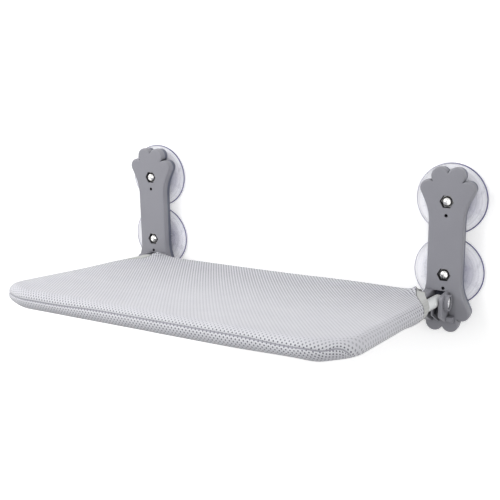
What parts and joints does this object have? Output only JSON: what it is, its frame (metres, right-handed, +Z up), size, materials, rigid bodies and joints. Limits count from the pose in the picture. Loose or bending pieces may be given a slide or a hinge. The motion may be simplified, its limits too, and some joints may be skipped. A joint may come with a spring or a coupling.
{
  "type": "window cat hammock",
  "caption": "Window hammock for a cat: paw-shaped brackets on suction cups carry a tube frame in a mesh cover that hinges up flat.",
  "frame": {"origin": "on the window glass, in the middle of the pattern of four suction cups", "axes": "+X to the right along the window seen from the room, +Y through the glass to the outside, +Z up"},
  "size_m": [0.5184, 0.3367, 0.206],
  "materials": {
    "bracket_plastic": "mid grey ABS, satin gloss",
    "bracket_back_plastic": "slightly darker grey ABS, satin",
    "clear_cup": "clear soft PVC, glossy",
    "zinc_steel": "zinc plated",
    "polished_nut": "polished nickel plating",
    "black_screw": "black oxide",
    "white_tube": "white powder coat",
    "nylon": "natural nylon",
    "white_plastic": "moulded, satin",
    "mesh_fabric": "light grey polyester air mesh",
    "plain_fabric": "light grey woven tape"
  },
  "bodies": {
    "window_mount": {"bracket_front_left": "bracket_plastic", "bracket_front_right": "bracket_plastic", "bracket_back_left": "bracket_back_plastic", "bracket_back_right": "bracket_back_plastic", "suction_cup_lower_left": "clear_cup", "suction_cup_lower_right": "clear_cup", "suction_cup_upper_left": "clear_cup", "suction_cup_upper_right": "clear_cup", "cup_studs": "zinc_steel", "acorn_nuts": "polished_nut", "shell_screws": "black_screw", "hinge_bolt_left": "zinc_steel", "hinge_bolt_right": "zinc_steel", "lock_nut_left": "zinc_steel", "lock_nut_right": "zinc_steel"},
    "bed": {"frame_tube": "white_tube", "hinge_bush_left": "nylon", "hinge_bush_right": "nylon", "tube_plug_left": "white_plastic", "tube_plug_right": "white_plastic", "cover_top": "mesh_fabric", "cover_underside": "mesh_fabric", "cover_binding_left": "plain_fabric", "cover_binding_right": "plain_fabric"}
  },
  "joints": [
    {"name": "bed_fold", "type": "hinge", "parent": "window_mount", "child": "bed", "pos_m": [0, -0.036, -0.075], "axis": [-1, 0, 0], "range_deg": [0, 80]}
  ]
}
